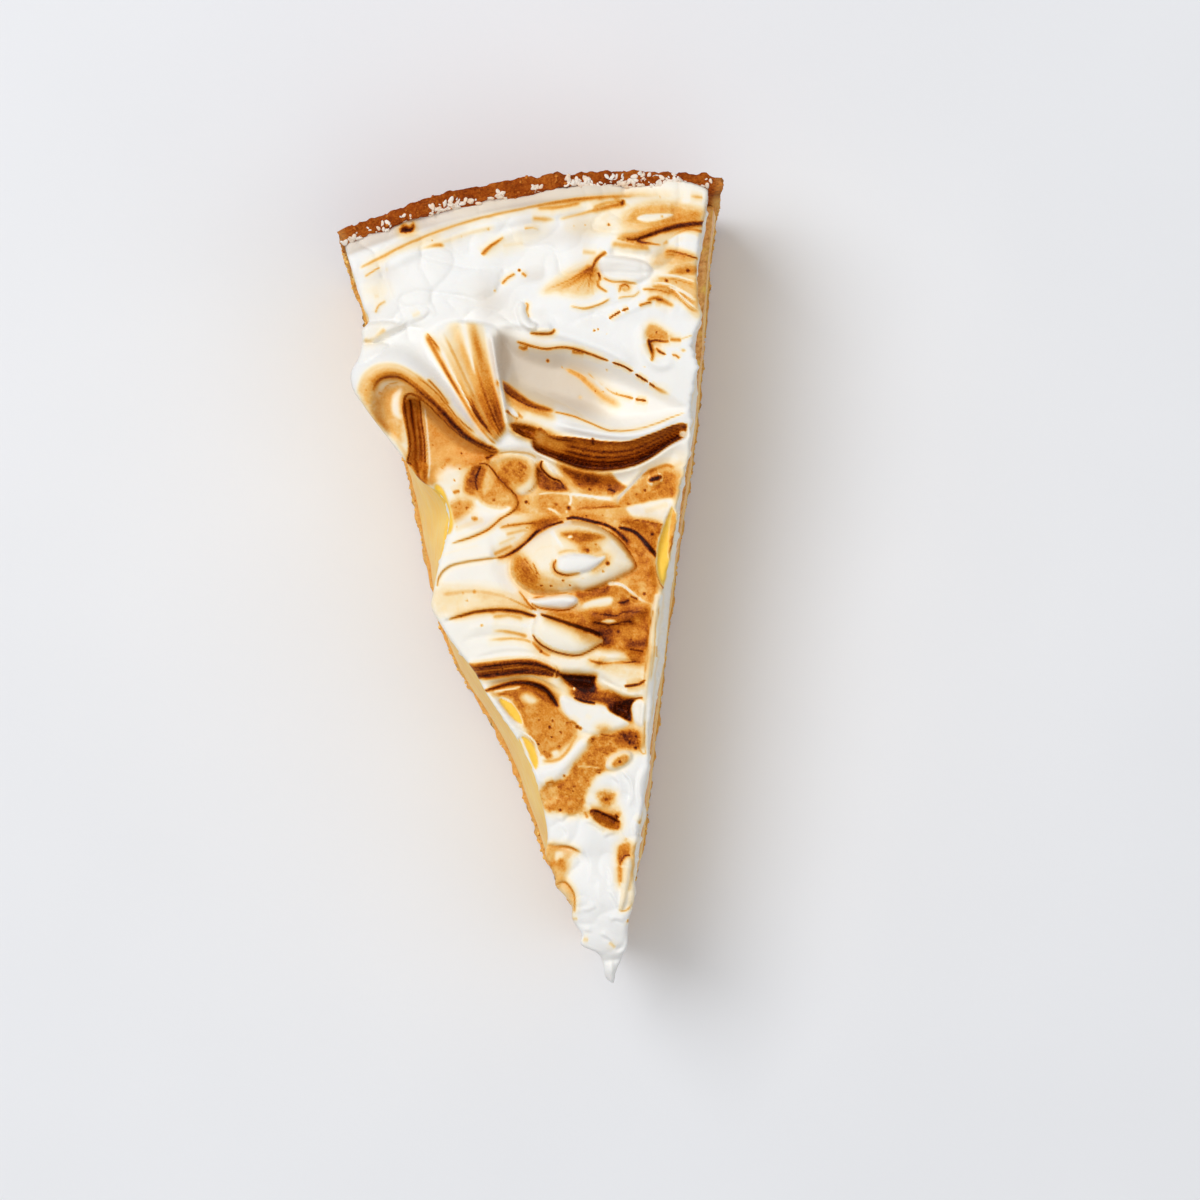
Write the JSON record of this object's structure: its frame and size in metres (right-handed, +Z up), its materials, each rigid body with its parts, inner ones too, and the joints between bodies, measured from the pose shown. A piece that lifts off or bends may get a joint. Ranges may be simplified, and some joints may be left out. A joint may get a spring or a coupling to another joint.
{
  "type": "lemon meringue pie slice",
  "caption": "Narrow slice of lemon meringue pie with a shortcrust shell, a lemon curd layer and a folded, torch-browned meringue topping.",
  "frame": {"origin": "middle of the slice's footprint, on the underside of the shell", "axes": "+Z up, +Y from the point of the slice to the outer rim of the pie, +X to the right seen from above with the rim at the top"},
  "size_m": [0.0626, 0.13, 0.0478],
  "materials": {
    "crust": "baked shortcrust pastry, dry and matt",
    "lemon_filling": "set lemon curd, smooth and moist",
    "meringue": "soft whipped egg white, glossy, torch-browned on its folds"
  },
  "bodies": {
    "root": {"crust": "crust", "lemon_filling": "lemon_filling", "meringue": "meringue"}
  },
  "joints": []
}
